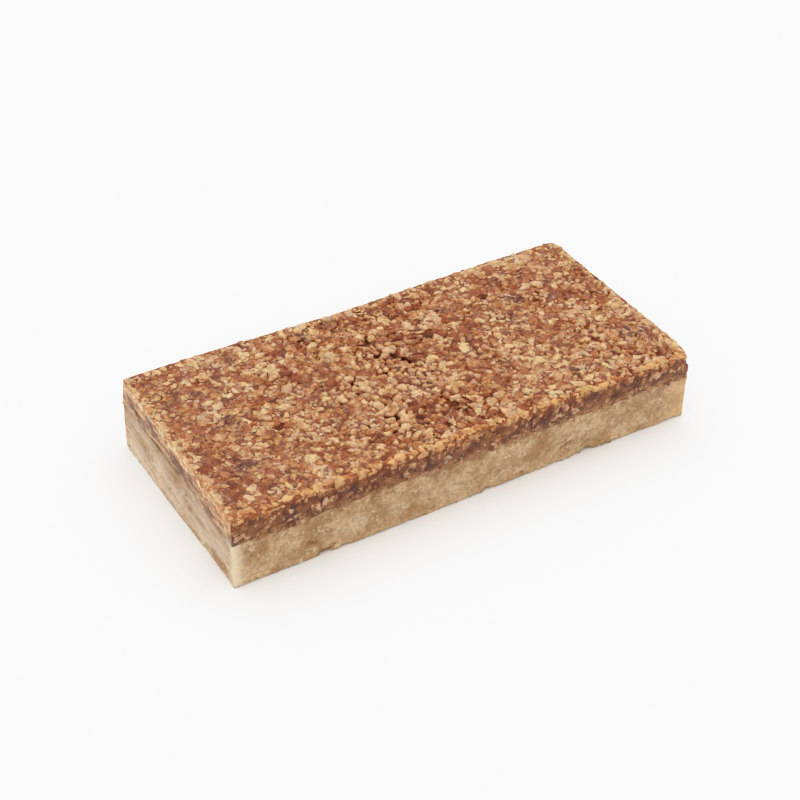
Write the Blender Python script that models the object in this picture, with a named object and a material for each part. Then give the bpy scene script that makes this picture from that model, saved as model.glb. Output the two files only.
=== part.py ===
"""Baklava bar: a pale ground-nut base under a pressed topping of chopped nuts in date paste.

Metres, +Z up. The bar lies along X on the plane Z = 0. Its origin is the middle of its underside.
The topping is a core of paste with the largest nut pieces standing out of it, each at its true size.
"""

import math
import random

import bmesh
import bpy
from mathutils import Euler, Matrix, Vector, noise

# Driving dimensions of the bar.
LENGTH = 0.1000
WIDTH = 0.0472
HEIGHT = 0.0158
SEAM_HEIGHT = 0.0101  # where the topping meets the base
LAYER_GAP = 0.0003  # clearance between the two solids

# The grid that both layers share, so that their two seam faces follow each other.
CUTS_ALONG = 33
CUTS_ACROSS = 15
BASE_CUTS_UP = 6
TOPPING_CUTS_UP = 1
RIM_STRIP = 0.0014  # width of the outermost strip of the grid

# How far the cut and pressed faces wander from true, and over what length each wave repeats.
BASE_INSETS = {(-1, 0): 0.00003, (1, 0): 0.00003, (0, -1): 0.00005, (0, 1): 0.00030}
FRONT_SET_BACK = 0.00035  # how much more the right half of the base's front lies in, at its foot
SET_BACK_FROM, SET_BACK_TO = -0.0100, 0.0080
BASE_WANDER, BASE_WAVE = 0.00010, 0.0160
BASE_CRUMB, CRUMB_WAVE = 0.00010, 0.0035
BASE_CORNER = 0.00003  # how far a corner of the base is rubbed in, each way
FOOT_LIFT, FOOT_WAVE = 0.00020, 0.0045  # where crumbs are missing under the base's rim
FOOT_HELD = 0.35  # share of that rim's wave that stays on the ground
CORE_INSET = 0.00020  # mean distance of the paste's sides inside the knife cut
CORE_WANDER, CORE_WAVE = 0.00014, 0.0050
LEAST_INSET = 0.00006
SEAM_WANDER, SEAM_WAVE = 0.00030, 0.0060
RIM_RADIUS = 0.0015  # how far in from the sides the top's rim is worn
RIM_DROP = 0.00010  # how far the rim is worn down
RIM_PASTE = 0.35  # share of the paste's depth that is left at the rim
PASTE_DEPTH = 0.00060  # how far the paste lies under the tops of the nuts where pressed smooth
PASTE_LOSS = 0.00045  # how much lower it lies in the torn-up middle
PASTE_RELIEF, PASTE_WAVE = 0.00030, 0.0031

# Where the outline leaves the rectangle.
CORNER_RADII = {(-1, -1): 0.0006, (1, -1): 0.0020, (1, 1): 0.0020, (-1, 1): 0.0006}
SEAM_CORNER = 0.1  # share of those radii that is left in the lower part of the topping
LEAN_IN = 0.00050  # how far the back part of the left end leans in at its full height
BACK_BAY, BACK_BAY_AT, BACK_BAY_REACH = 0.00030, 0.0020, 0.0130  # the back edge's shallow bay
BACK_DIP, BACK_DIP_AT, BACK_DIP_REACH = 0.00035, -0.0060, 0.0160  # and where its top sags
TOP_SAG, SAG_WAVE = 0.00020, 0.0200
CORNER_WEAR, CORNER_REACH = 0.00070, 0.0026  # how far the front right corner of the top is rubbed down
BACK_RISE = 0.8  # share of that sag that is missing along the left of the back edge
TORN_AT, TORN_REACH = -0.0040, 0.0210  # the middle of the top, torn up and loose
CHIP_LIFT = 0.6  # how far a chip in the front's lower edge lifts it, as a share of its depth

# Chips along the lower front edge and pits in the front face: place along X, height, reach, depth.
FRONT_CHIPS = (
    (-0.0310, 0.0002, 0.0016, 0.00035),
    (-0.0345, 0.0039, 0.0015, 0.00045),
    (0.0035, 0.0002, 0.0012, 0.00020),
    (0.0265, 0.0003, 0.0020, 0.00045),
    (0.0222, 0.0036, 0.0020, 0.00040),
)
# The same for the back face, where the bar was parted from its neighbour.
BACK_CHIPS = (
    (-0.0180, 0.0004, 0.0018, 0.00055),
    (0.0300, 0.0003, 0.0016, 0.00045),
    (0.0080, 0.0045, 0.0018, 0.00040),
)

# Chopped nuts: smallest and largest radius, and how many are wanted, the largest first.
SEED = 1907
TOP_NUTS = ((0.00155, 0.00195, 52), (0.00118, 0.00155, 100))
SIDE_NUTS = ((0.00110, 0.00155, 68),)
NUT_SPREAD = 0.98  # least distance between two nuts, as a share of their radii
NUT_TRIES = 6000
BED_CELL = 0.004  # side of the squares in which near nuts are looked for, wider than any two
PRESS_START = 0.00045  # how far under the top the pressing begins to flatten a nut
PRESS_SHARE = 0.30  # how much of a nut's height above that level is left
CUT_SHRINK = 0.00010  # the most that a cut nut's face lies back from the knife's plane

BASE_COLOUR = (0.56, 0.40, 0.24, 1.0)
PASTE_COLOUR = (0.36, 0.15, 0.075, 1.0)
NUT_COLOUR = (0.66, 0.42, 0.23, 1.0)


def clear_scene():
    for obj in list(bpy.data.objects):
        bpy.data.objects.remove(obj, do_unlink=True)


def new_collection(name):
    collection = bpy.data.collections.new(name)
    bpy.context.scene.collection.children.link(collection)
    return collection


def food_material(name, colour, roughness):
    material = bpy.data.materials.new(name)
    material.use_nodes = True
    shader = material.node_tree.nodes["Principled BSDF"]
    shader.inputs["Base Color"].default_value = colour
    shader.inputs["Roughness"].default_value = roughness
    shader.inputs["Metallic"].default_value = 0.0
    return material


def as_object(name, bm, material, collection):
    bmesh.ops.triangulate(bm, faces=bm.faces)
    bmesh.ops.recalc_face_normals(bm, faces=bm.faces)
    mesh = bpy.data.meshes.new(name)
    bm.to_mesh(mesh)
    bm.free()
    mesh.materials.append(material)
    obj = bpy.data.objects.new(name, mesh)
    collection.objects.link(obj)
    return obj


def wander(u, v, lane, wavelength):
    """Smooth noise, about -1 to 1, on two lengths in metres. Each lane has its own pattern."""
    return 1.6 * noise.noise(Vector((u / wavelength, v / wavelength, 7.3 * lane + 0.5)))


def fade(low, high, value):
    """0 up to low, 1 from high, and smooth between."""
    t = min(1.0, max(0.0, (value - low) / (high - low)))
    return t * t * (3.0 - 2.0 * t)


def swell(value, middle, reach):
    """1 at the middle, falling away to 0 on both sides."""
    return math.exp(-(((value - middle) / reach) ** 2))


def roughness_at(x, y):
    """1 in the torn-up middle of the top, 0 where it was pressed smooth."""
    middle = swell(x, TORN_AT, TORN_REACH)
    right = 0.45 * fade(0.012, 0.030, x)
    return min(1.0, max(0.0, middle + right + 0.25 * wander(x, y, 3, 0.012)))


def top_sag(x, y):
    """How far the pressed top lies under the bar's full height."""
    back_dip = BACK_DIP * swell(x, BACK_DIP_AT, BACK_DIP_REACH) * fade(0.010, 0.023, y)
    back_left = fade(0.008, 0.020, y) * fade(-0.018, -0.028, x)
    sag = TOP_SAG * max(0.0, 1.0 + 0.6 * wander(x, y, 5, SAG_WAVE))
    corner = swell(x, LENGTH / 2, CORNER_REACH) * swell(y, -WIDTH / 2, CORNER_REACH)
    return back_dip + sag * (1.0 - BACK_RISE * back_left) + CORNER_WEAR * corner


def left_lean(y, z):
    """How far the left end leans in at a place on it."""
    return LEAN_IN * fade(-0.020, -0.004, y) * z / HEIGHT


def topping_plan(x, y, z=HEIGHT):
    """Half the topping's length, half its width and its nearest corner's radius, at a point."""
    lean = left_lean(y, z) * fade(-0.030, -0.048, x)
    bay = BACK_BAY * swell(x, BACK_BAY_AT, BACK_BAY_REACH) if y > 0 else 0.0
    rounding = SEAM_CORNER + (1.0 - SEAM_CORNER) * fade(SEAM_HEIGHT + RIM_RADIUS, HEIGHT, z)
    radius = CORNER_RADII[1 if x > 0 else -1, 1 if y > 0 else -1] * rounding
    return LENGTH / 2 - lean, WIDTH / 2 - bay, radius


def held_in_plan(x, y, plan, inset):
    """The point, moved onto the rounded outline (set in by the inset) if it lies outside that."""
    side_x, side_y = (1 if x > 0 else -1), (1 if y > 0 else -1)
    half_x, half_y, radius = plan[0] - inset, plan[1] - inset, plan[2]
    along, across = min(half_x, abs(x)), min(half_y, abs(y))
    past_x, past_y = along - (half_x - radius), across - (half_y - radius)
    past = math.hypot(past_x, past_y)
    if past_x > 0 and past_y > 0 and past > radius:
        along = half_x - radius + past_x * radius / past
        across = half_y - radius + past_y * radius / past
    return side_x * along, side_y * across


def top_height(x, y):
    """Height of the pressed top at a point: it is worn round along its rim."""
    half_x, half_y, _ = topping_plan(x, y)
    rim = min(1.0, max(0.0, min(half_x - abs(x), half_y - abs(y)) / RIM_RADIUS))
    worn = RIM_DROP * (1.0 - math.sqrt(1.0 - (1.0 - rim) ** 2))
    return HEIGHT - top_sag(x, y) - worn


def block(low, high, cuts_up):
    """A box of the bar's plan, cut into the grid that both layers share."""
    bm = bmesh.new()
    bmesh.ops.create_cube(bm, size=1.0)
    bmesh.ops.scale(bm, vec=(LENGTH, WIDTH, high - low), verts=bm.verts)
    bmesh.ops.translate(bm, vec=(0.0, 0.0, (low + high) / 2), verts=bm.verts)
    for axis, cuts in enumerate((CUTS_ALONG, CUTS_ACROSS, cuts_up)):
        along = [e for e in bm.edges if abs((e.verts[0].co - e.verts[1].co)[axis]) > 1e-6]
        bmesh.ops.subdivide_edges(bm, edges=along, cuts=cuts, use_grid_fill=True)
    for axis, half, cuts in ((0, LENGTH / 2, CUTS_ALONG), (1, WIDTH / 2, CUTS_ACROSS)):
        widen = (half - RIM_STRIP) / (half - 2 * half / (cuts + 1))
        for vert in bm.verts:
            if abs(vert.co[axis]) < half - 1e-5:
                vert.co[axis] *= widen
    return bm


def sides_of(point):
    """Which sides of the box a point lies on, as (sign along X, sign along Y), each 0 if on neither."""
    along, across = 2 * point.x / LENGTH, 2 * point.y / WIDTH
    return (round(along) if abs(along) > 0.9999 else 0, round(across) if abs(across) > 0.9999 else 0)


def smooth_hidden_face(bm, height, upward):
    """Flattens the inside of a face that nothing shows of, and makes it one face."""
    inner = []
    for face in bm.faces:
        if abs(face.normal.z) < 0.5 or (face.normal.z > 0) != upward:
            continue
        if all(sides_of(v.co) == (0, 0) for v in face.verts):
            inner.append(face)
    for vert in {v for face in inner for v in face.verts}:
        vert.co.z = height
    bmesh.ops.dissolve_faces(bm, faces=inner, use_verts=True)


def chip_depth(chips, x, z):
    return sum(
        depth * math.exp(-(((x - at) ** 2 + (z - up) ** 2) / reach**2)) for at, up, reach, depth in chips
    )


def base_side_inset(side_x, side_y, point):
    """How far inside the bar's plan a point of the base's side lies."""
    lane = 10 + 3 * side_x + side_y
    run = point.y if side_x else point.x
    inset = BASE_INSETS[side_x, side_y] + BASE_WANDER * wander(run, point.z, lane, BASE_WAVE)
    inset += BASE_CRUMB * wander(run, point.z, lane + 20, CRUMB_WAVE)
    if side_x == -1:
        inset += left_lean(point.y, point.z)
    if side_y == -1:
        upright = 1.0 - 0.5 * point.z / SEAM_HEIGHT
        inset += FRONT_SET_BACK * upright * fade(SET_BACK_FROM, SET_BACK_TO, point.x)
        inset += chip_depth(FRONT_CHIPS, point.x, point.z)
    if side_y == 1:
        inset += chip_depth(BACK_CHIPS, point.x, point.z)
    return max(LEAST_INSET, inset)


def seam_wave(x, y):
    return SEAM_WANDER * wander(x, y, 1, SEAM_WAVE)


def shape_base(bm):
    bm.normal_update()
    smooth_hidden_face(bm, SEAM_HEIGHT - LAYER_GAP / 2, upward=True)
    smooth_hidden_face(bm, 0.0, upward=False)
    for vert in bm.verts:
        side_x, side_y = sides_of(vert.co)
        if (side_x, side_y) == (0, 0):
            continue
        place = vert.co.copy()
        if place.z > SEAM_HEIGHT - LAYER_GAP:
            vert.co.z += seam_wave(place.x, place.y)
        if place.z < LAYER_GAP:
            vert.co.z = FOOT_LIFT * max(0.0, wander(place.x, place.y, 2, FOOT_WAVE) - FOOT_HELD)
            if side_y == -1:
                vert.co.z += CHIP_LIFT * chip_depth(FRONT_CHIPS, place.x, 0.0)
        if side_x:
            vert.co.x -= side_x * base_side_inset(side_x, 0, place)
        if side_y:
            vert.co.y -= side_y * base_side_inset(0, side_y, place)
        if side_x and side_y:
            vert.co.x -= side_x * BASE_CORNER
            vert.co.y -= side_y * BASE_CORNER


def shape_topping_core(bm):
    bm.normal_update()
    smooth_hidden_face(bm, SEAM_HEIGHT + LAYER_GAP / 2, upward=False)
    for vert in bm.verts:
        side_x, side_y = sides_of(vert.co)
        place = vert.co.copy()
        if place.z > HEIGHT - LAYER_GAP:
            torn = roughness_at(place.x, place.y)
            relief = PASTE_RELIEF * wander(place.x, place.y, 4, PASTE_WAVE) * (0.5 + 0.6 * torn)
            depth = PASTE_DEPTH + PASTE_LOSS * torn + relief
            vert.co.z = top_height(place.x, place.y) - depth * (RIM_PASTE if side_x or side_y else 1.0)
        if not side_x and not side_y:
            continue
        if place.z < SEAM_HEIGHT + LAYER_GAP:
            vert.co.z += seam_wave(place.x, place.y)
        run = place.y if side_x else place.x
        lane = 30 + 3 * side_x + side_y
        inset = CORE_INSET + CORE_WANDER * wander(run, place.z, lane, CORE_WAVE)
        plan = topping_plan(*place)
        vert.co.x, vert.co.y = held_in_plan(place.x, place.y, plan, max(LEAST_INSET, inset))


class Bed:
    """Nuts on a flat rectangle, in coordinates u and v. No two lie closer than their radii allow."""

    def __init__(self, rng, reach_u, reach_v):
        self.rng = rng
        self.reach_u = reach_u
        self.reach_v = reach_v
        self.cells = {}

    @staticmethod
    def cell_of(u, v):
        return int(u // BED_CELL), int(v // BED_CELL)

    def neighbours(self, u, v):
        along, across = self.cell_of(u, v)
        for i in (along - 1, along, along + 1):
            for j in (across - 1, across, across + 1):
                yield from self.cells.get((i, j), ())

    def lay(self, smallest, largest, wanted):
        """Adds up to the wanted number of nuts, and returns them as (u, v, radius)."""
        laid = []
        for _ in range(NUT_TRIES):
            if len(laid) == wanted:
                break
            radius = self.rng.uniform(smallest, largest)
            u = self.rng.uniform(*self.reach_u)
            v = self.rng.uniform(*self.reach_v)
            near = self.neighbours(u, v)
            if any(math.hypot(u - a, v - b) < NUT_SPREAD * (radius + r) for a, b, r in near):
                continue
            self.cells.setdefault(self.cell_of(u, v), []).append((u, v, radius))
            laid.append((u, v, radius))
        return laid


def nut_chunk(rng, radius):
    """A chopped nut: a blunt lump of four to six sides, longer one way than the others."""
    bm = bmesh.new()
    ends = (rng.uniform(0.80, 1.05), rng.uniform(0.95, 1.15))
    bmesh.ops.create_cone(
        bm, cap_ends=True, segments=rng.choice((4, 5, 5, 6)), radius1=ends[0], radius2=ends[1], depth=2.0
    )
    for vert in bm.verts:
        vert.co = Vector([c * rng.uniform(0.78, 1.08) for c in vert.co])
    size = (rng.uniform(0.95, 1.20), rng.uniform(0.70, 0.95), rng.uniform(0.50, 0.65))
    bmesh.ops.scale(bm, vec=[radius * part for part in size], verts=bm.verts)
    return bm


def press(point, plan, shrink):
    """Flattens what stands above the pressed top, and cuts off what stands out past the knife."""
    x, y = held_in_plan(point.x, point.y, plan, shrink)
    z = max(SEAM_HEIGHT + LAYER_GAP + 2 * SEAM_WANDER + shrink, point.z)
    start = top_height(x, y) - PRESS_START - shrink
    if z > start:
        z = min(HEIGHT, start + PRESS_SHARE * (z - start))
    return Vector((x, y, z))


def top_nuts():
    """(place, turn, chunk) of each nut on the top."""
    reach_u, reach_v = LENGTH / 2 - RIM_RADIUS / 2, WIDTH / 2 - RIM_RADIUS / 2
    bed = Bed(random.Random(SEED), (-reach_u, reach_u), (-reach_v, reach_v))
    laid = [nut for sizes in TOP_NUTS for nut in bed.lay(*sizes)]
    for index, (u, v, radius) in enumerate(laid):
        rng = random.Random(SEED + 1 + index)
        depth = PASTE_DEPTH + PASTE_LOSS * roughness_at(u, v) * rng.random()
        depth += radius * rng.uniform(0.0, 0.2)
        turn = Euler((rng.uniform(-0.5, 0.5), rng.uniform(-0.5, 0.5), rng.uniform(0.0, math.tau)))
        yield Vector((u, v, top_height(u, v) - depth)), turn, nut_chunk(rng, radius)


def side_nuts():
    """(place, turn, chunk) of each nut that the knife cut, round the four sides of the topping."""
    round_the_bar = 2 * (LENGTH + WIDTH)
    heights = (SEAM_HEIGHT + RIM_RADIUS, HEIGHT - RIM_RADIUS)
    bed = Bed(random.Random(SEED + 1000), (0.0, round_the_bar), heights)
    laid = [nut for sizes in SIDE_NUTS for nut in bed.lay(*sizes)]
    for index, (run, up, radius) in enumerate(laid):
        rng = random.Random(SEED + 2000 + index)
        inward = radius * rng.uniform(0.30, 0.50)
        if run < LENGTH:
            place = (run - LENGTH / 2, inward - WIDTH / 2)
        elif run < LENGTH + WIDTH:
            place = (LENGTH / 2 - inward, run - LENGTH - WIDTH / 2)
        elif run < 2 * LENGTH + WIDTH:
            place = (run - LENGTH - WIDTH - LENGTH / 2, WIDTH / 2 - inward)
        else:
            place = (inward - LENGTH / 2, run - 2 * LENGTH - WIDTH - WIDTH / 2)
        place = held_in_plan(*place, topping_plan(*place, up), inward)
        turn = Euler([rng.uniform(0.0, math.tau) for _ in range(3)])
        yield Vector((*place, up)), turn, nut_chunk(rng, radius)


def keep_largest_body(mesh):
    """Drops crumbs that touch nothing, and fills any hollow that the nuts sealed."""
    bm = bmesh.new()
    bm.from_mesh(mesh)
    unseen = set(bm.verts)
    bodies = []
    while unseen:
        body = [unseen.pop()]
        for vert in body:
            joined = {edge.other_vert(vert) for edge in vert.link_edges} & unseen
            unseen -= joined
            body.extend(joined)
        bodies.append(body)
    bodies.sort(key=len)
    for body in bodies[:-1]:
        bmesh.ops.delete(bm, geom=body, context="VERTS")
    bm.to_mesh(mesh)
    bm.free()


def join_into(core, pieces):
    """One Boolean union of the core and every piece, applied. The pieces are then removed."""
    union = core.modifiers.new("fuse_nuts", "BOOLEAN")
    union.operation = "UNION"
    union.operand_type = "COLLECTION"
    union.collection = pieces
    union.solver = "EXACT"
    union.material_mode = "TRANSFER"
    graph = bpy.context.evaluated_depsgraph_get()
    fused = bpy.data.meshes.new_from_object(core.evaluated_get(graph), depsgraph=graph)
    core.modifiers.remove(union)
    core.data = fused
    for piece in list(pieces.objects):
        bpy.data.objects.remove(piece, do_unlink=True)
    bpy.data.collections.remove(pieces)
    keep_largest_body(fused)


def build_bar():
    clear_scene()
    bar = new_collection("baklava_bar")
    loose_nuts = new_collection("loose_nuts")

    base_bm = block(0.0, SEAM_HEIGHT - LAYER_GAP / 2, BASE_CUTS_UP)
    shape_base(base_bm)
    as_object("nut_base", base_bm, food_material("ground_nut_base", BASE_COLOUR, 0.75), bar)

    core_bm = block(SEAM_HEIGHT + LAYER_GAP / 2, HEIGHT, TOPPING_CUTS_UP)
    shape_topping_core(core_bm)
    topping = as_object("nut_topping", core_bm, food_material("date_paste", PASTE_COLOUR, 0.55), bar)

    nut_material = food_material("chopped_nut", NUT_COLOUR, 0.60)
    for index, (place, turn, chunk) in enumerate((*top_nuts(), *side_nuts())):
        shrink = CUT_SHRINK * (index * 0.618 % 1.0)
        plan = topping_plan(*place)
        seat = Matrix.Translation(place) @ turn.to_matrix().to_4x4()
        bmesh.ops.transform(chunk, matrix=seat, verts=chunk.verts)
        for vert in chunk.verts:
            vert.co = press(vert.co, plan, shrink)
        as_object("nut", chunk, nut_material, loose_nuts)
    join_into(topping, loose_nuts)


build_bar()
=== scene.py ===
import math
import random

import bmesh
import bpy
from mathutils import Euler, Matrix, Vector, noise


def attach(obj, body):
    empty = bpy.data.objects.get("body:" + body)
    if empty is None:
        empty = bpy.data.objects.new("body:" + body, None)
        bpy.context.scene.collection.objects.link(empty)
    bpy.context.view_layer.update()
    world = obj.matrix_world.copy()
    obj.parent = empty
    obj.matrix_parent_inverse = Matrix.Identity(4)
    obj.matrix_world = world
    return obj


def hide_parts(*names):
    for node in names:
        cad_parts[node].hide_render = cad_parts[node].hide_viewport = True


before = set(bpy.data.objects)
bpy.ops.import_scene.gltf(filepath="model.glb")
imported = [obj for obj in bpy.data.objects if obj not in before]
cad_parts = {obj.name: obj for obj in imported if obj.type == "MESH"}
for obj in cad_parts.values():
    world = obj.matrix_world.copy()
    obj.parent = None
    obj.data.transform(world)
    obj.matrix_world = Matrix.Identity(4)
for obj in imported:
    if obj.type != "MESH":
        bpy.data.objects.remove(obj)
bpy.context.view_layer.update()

MM = 0.001


def mm(*parts):
    return tuple(part * MM for part in parts)


# ---- sizes of the bar

LENGTH = 100.0 * MM
WIDTH = 47.2 * MM
HEIGHT = 15.8 * MM
SEAM_HEIGHT = 10.1 * MM
LAYER_GAP = 0.3 * MM
LEFT, FRONT = -LENGTH / 2, -WIDTH / 2
ROUND_THE_BAR = 2 * (LENGTH + WIDTH)

# The outline, as on the solids: corners by the signs of X and Y, the leaning left end, the hollow back.
CORNER_RADII = {(-1, -1): 0.6 * MM, (1, -1): 2.0 * MM, (1, 1): 2.0 * MM, (-1, 1): 0.6 * MM}
SEAM_CORNER = 0.1
LEAN_IN, LEAN_Y, LEAN_X = 0.50 * MM, mm(-20.0, -4.0), mm(-30.0, -48.0)
BACK_BAY, BACK_BAY_AT, BACK_BAY_REACH = mm(0.3, 2.0, 13.0)

# The pressed top, as on the solids. A pair of places says where a form fades in.
BACK_DIP, BACK_DIP_AT, BACK_DIP_REACH = mm(0.35, -6.0, 16.0)
BACK_DIP_Y = mm(10.0, 23.0)
BACK_RISE, BACK_RISE_Y, BACK_RISE_X = 0.8, mm(8.0, 20.0), mm(-18.0, -28.0)
TOP_SAG, SAG_UNEVEN = 0.2 * MM, 0.6
CORNER_WEAR, CORNER_REACH = mm(0.7, 2.6)
TORN_AT, TORN_REACH, TORN_EDGE = -4.0 * MM, 21.0 * MM, 0.25
TORN_RIGHT, TORN_RIGHT_X = 0.45, mm(12.0, 30.0)
RIM_RADIUS, RIM_DROP, RIM_BAND = 1.5 * MM, 0.1 * MM, mm(2.4, 0.8)
CRACK_WIDTH, CRACKED_SHARE, CRACK_DEPTH = 0.17, (-0.1, 0.4), 0.9 * MM
HOLLOW_END = 2.0
STAIN_EDGE = 0.35

# The knife-cut sides: how far in they reach, how high, and how far the top's lip hangs over them.
CUT_SKIN = mm(0.9, 0.4)
LIP_ABOVE, LIP_BELOW = mm(0.3, 0.4)
RIM_LIP, LEFT_LIP = mm(1.0, 2.5)

# Patterns of unevenness: each has its own lane of noise and its wavelength.
NOISE_GAIN, LANE_STEP, LANE_START = 1.6, 7.3, 0.5
TORN_PATTERN = (3, 12.0 * MM)
SAG_PATTERN = (5, 20.0 * MM)
CRACK_PATTERN, CRACKED_PATTERN = (40, 4.6 * MM), (41, 8.0 * MM)
STAIN_PATTERN = (8, 5.0 * MM)
FOOT_PATTERN, FOOT_CRUMB_PATTERN, FOOT_STEP_PATTERN = (2, 4.5 * MM), (6, 1.2 * MM), (72, 5.0 * MM)

# Sums of patterns: for each its depth, its lane and its wavelength.
SEAM_WANDER = 0.3 * MM
SEAM_WAVES = ((SEAM_WANDER, 1, 6.0 * MM),)
SEAM_RAG = ((0.32 * MM, 50, 2.4 * MM), (0.17 * MM, 51, 1.0 * MM))
KIND_PATCHES = ((0.26, 31, 7.0 * MM), (0.18, 32, 20.0 * MM))
PIT_EDGE_X, PIT_EDGE_Z = ((0.35 * MM, 70, 1.6 * MM),), ((0.25 * MM, 71, 1.2 * MM),)
PASTE_RELIEF = ((0.13 * MM, 21, 1.8 * MM), (0.08 * MM, 22, 0.8 * MM))
PASTE_WALL = ((0.10 * MM, 30, 2.5 * MM), (0.06 * MM, 39, 0.8 * MM))
BASE_WALL = (
    (0.10 * MM, 10, 16.0 * MM),
    (0.10 * MM, 30, 3.5 * MM),
    (0.05 * MM, 50, 1.3 * MM),
    (0.03 * MM, 70, 0.6 * MM),
)

# The paste between the nuts.
PASTE_FOOT = SEAM_HEIGHT - 0.2 * MM
PASTE_CELLS, PASTE_ROWS = (310, 146), 14
PASTE_SET_BACK, PASTE_SET_BACK_LEFT, LEAST_SET_BACK = mm(0.12, 0.05, 0.02)
PASTE_SUNK, PASTE_SUNK_TORN, PASTE_SHOULDER = mm(0.18, 0.20, 0.12)
LEAST_SUNK, SEAT_DEPTH = mm(0.03, 1.2)

# The base: how far its sides lie inside the bar's plan, by the signs of X and Y.
BASE_TOP = SEAM_HEIGHT + 0.1 * MM
BASE_CELLS, BASE_ROWS, LID_BORDER = (330, 156), 34, 1.2 * MM
BASE_INSETS = {(-1, 0): 0.03 * MM, (1, 0): 0.03 * MM, (0, -1): 0.05 * MM, (0, 1): 0.30 * MM}
FRONT_SET_BACK, SET_BACK_X = 0.35 * MM, mm(-10.0, 8.0)
BASE_CORNER, LEAST_INSET = mm(0.03, 0.03)
DIMPLE, DIMPLE_WAVE, DIMPLE_SIZE = 0.22 * MM, 2.4 * MM, (0.20, 0.05)
FOOT_LIFT, FOOT_HELD = 0.20 * MM, 0.35
FOOT_CRUMBLE, FOOT_CRUMBLE_HELD = 0.12 * MM, 0.2
FOOT_STEP, FOOT_STEP_SHARE = 1.1 * MM, (-0.5, 0.3)
CHIP_LIFT = 0.6

# Shallow chips, in millimetres: place along X, height, reach and depth.
FRONT_CHIPS = (
    (-31.0, 0.2, 1.6, 0.35), (-34.5, 3.9, 1.5, 0.45), (3.5, 0.2, 1.2, 0.20), (26.5, 0.3, 2.0, 0.45),
    (22.2, 3.6, 2.0, 0.40),
)
BACK_CHIPS = (
    (-18.0, 0.4, 1.8, 0.55), (30.0, 0.3, 1.6, 0.45), (8.0, 4.5, 1.8, 0.40),
)
# Sharp pits in the front of the base: place along X, height, half length, half height and depth.
FRONT_PITS = (
    (-34.4, 3.5, 1.1, 0.35, 0.35), (-31.6, 0.5, 1.7, 0.6, 0.45), (-27.4, 0.1, 1.2, 0.5, 0.35),
    (-45.6, 0.2, 0.5, 0.4, 0.30), (-14.0, 0.1, 1.3, 0.4, 0.30), (-4.2, 5.0, 0.5, 0.3, 0.30),
    (3.5, 0.1, 0.9, 0.5, 0.30), (11.5, 1.2, 0.5, 0.4, 0.25), (22.2, 3.6, 1.1, 0.4, 0.35),
    (27.0, 0.2, 1.5, 0.6, 0.40), (41.6, 4.6, 0.3, 0.25, 0.30),
)
# Chalky scrapes round them: place along X, height, half length and half height.
FRONT_SCRAPES = (
    (-32.2, 6.2, 1.8, 1.2), (-34.5, 2.0, 1.4, 0.9), (-36.6, 0.8, 1.0, 0.7), (-24.8, 4.9, 2.4, 1.3),
    (-29.0, 4.4, 1.0, 0.9), (-15.8, 4.6, 2.2, 1.3), (-4.0, 4.6, 2.2, 1.5), (-10.6, 6.6, 1.5, 0.8),
    (5.0, 2.6, 1.8, 1.0), (21.8, 4.2, 2.4, 1.6), (33.0, 2.2, 2.0, 1.2),
)

# ---- sizes of the nuts

# Each lot of pieces has its own random numbers. The first four are the solids' own.
SEED = 1907
TOP_NUT_SEED, SIDE_SEED, SIDE_NUT_SEED = SEED + 1, SEED + 1000, SEED + 2000
PALE_SEED, FINE_SEED, RIM_SEED = SEED + 5000, SEED + 5500, SEED + 5800
SIDE_FINE_SEED, SEAM_SEED, BASE_SEED = SEED + 6000, SEED + 6500, SEED + 7000

# Chopped nuts that the solids carry: smallest and largest radius, and how many.
TOP_NUTS = ((1.55 * MM, 1.95 * MM, 52), (1.18 * MM, 1.55 * MM, 100))
SIDE_NUTS = ((1.10 * MM, 1.55 * MM, 68),)
NUT_SPREAD, NUT_TRIES, BED_CELL = 0.98, 6000, 4.0 * MM
PRESS_START, PRESS_SHARE = 0.45 * MM, 0.30
CUT_SHRINK, CUT_SHRINK_STEP = 0.10 * MM, 0.618
PASTE_DEPTH, PASTE_LOSS = mm(0.60, 0.45)
EDGE_WEAR, END_INSET, END_SWELL, LUMPS = 0.17, 0.14, 0.06, 0.30

# Finer nuts that only the looks carry: radii, how many, how near they may lie, and how many tries.
TOP_FINE = (
    (1.00 * MM, 1.70 * MM, 900, 0.60, 18000),
    (0.60 * MM, 1.00 * MM, 2700, 0.54, 44000),
)
TOP_CRUMBS = (0.26 * MM, 0.50 * MM, 1600, 0.50, 16000)
SIDE_FINE = (
    (1.20 * MM, 1.90 * MM, 150, 0.60, 12000),
    (0.75 * MM, 1.20 * MM, 170, 0.66, 9000),
    (0.50 * MM, 0.75 * MM, 90, 0.74, 6000),
    (0.22 * MM, 0.40 * MM, 50, 0.60, 2000),
)
SIDE_FINE_HEIGHTS = (SEAM_HEIGHT + 0.5 * MM, HEIGHT - 0.9 * MM)
CRUMB_SHARE = 0.6
DEEPEST_GAP, CRACK_FOR_NUT, CRACK_FOR_CRUMB = 0.35 * MM, 0.60, 0.25
RIM_NUT, RIM_GAP_SHARE = mm(0.35, 1.30), 0.24
SEAM_CRUMBS, SEAM_CRUMB = 260, mm(0.20, 0.75)
BASE_CRUMBS, BASE_CRUMB, LOW_SHARE = 450, mm(0.12, 0.34), 0.55
CRUMB_FROM_CORNER = 0.3 * MM

# The four kinds of piece, each up to its share of the draw, and from which radius a nut is a big one.
KINDS = (("pale", 0.48), ("golden", 0.78), ("skinned", 0.91), ("date", math.inf))
BIG_NUT = 1.1 * MM

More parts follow.
